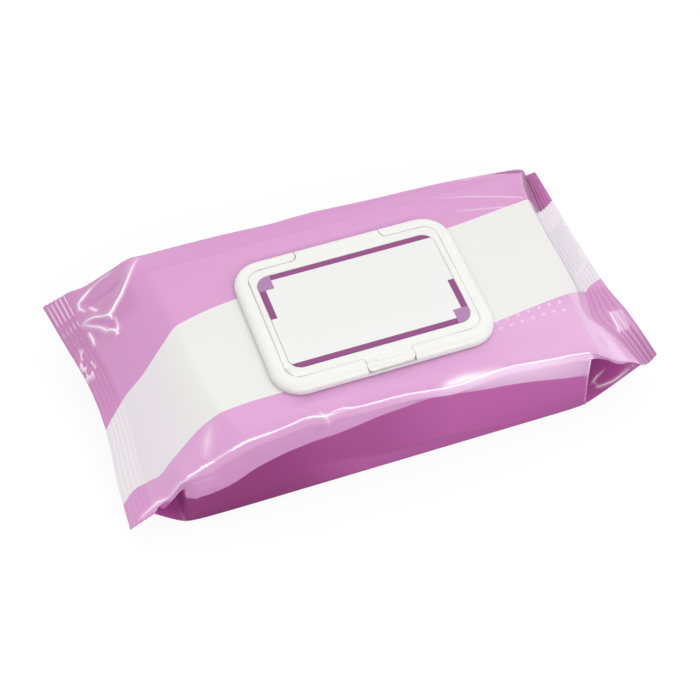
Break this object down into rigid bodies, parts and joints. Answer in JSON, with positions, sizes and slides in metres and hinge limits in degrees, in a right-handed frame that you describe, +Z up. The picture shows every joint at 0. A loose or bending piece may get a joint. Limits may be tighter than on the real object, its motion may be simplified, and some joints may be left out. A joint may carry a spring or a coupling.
{
  "type": "wet wipes pack",
  "caption": "Lying film pouch of wet wipes with ribbed end seals and tucked gussets, and a hinged flip-top lid with a printed label on its upper face.",
  "frame": {"origin": "middle of the bounding box's footprint, on the surface that the pack lies on", "axes": "+X along the pack from the left end seal to the right one, +Y from the cover's tab to its hinge, +Z up out of the lid"},
  "size_m": [0.263, 0.126, 0.0531],
  "materials": {
    "printed_film": "glossy laminated film, lilac-pink print with a white band",
    "lid_plastic": "satin moulded polypropylene, white",
    "label_print": "printed card, white with magenta stripes",
    "peel_foil": "peel-off laminate patch"
  },
  "bodies": {
    "pack": {"film_pouch": "printed_film", "lid_frame": "lid_plastic", "peel_seal": "peel_foil"},
    "lid": {"lid_cover": "lid_plastic", "lid_label": "label_print"}
  },
  "joints": [
    {"name": "lid_hinge", "type": "hinge", "parent": "pack", "child": "lid", "pos_m": [0.0061, 0.0345, 0.0499], "axis": [-1, 0, 0], "range_deg": [0, 130]}
  ]
}
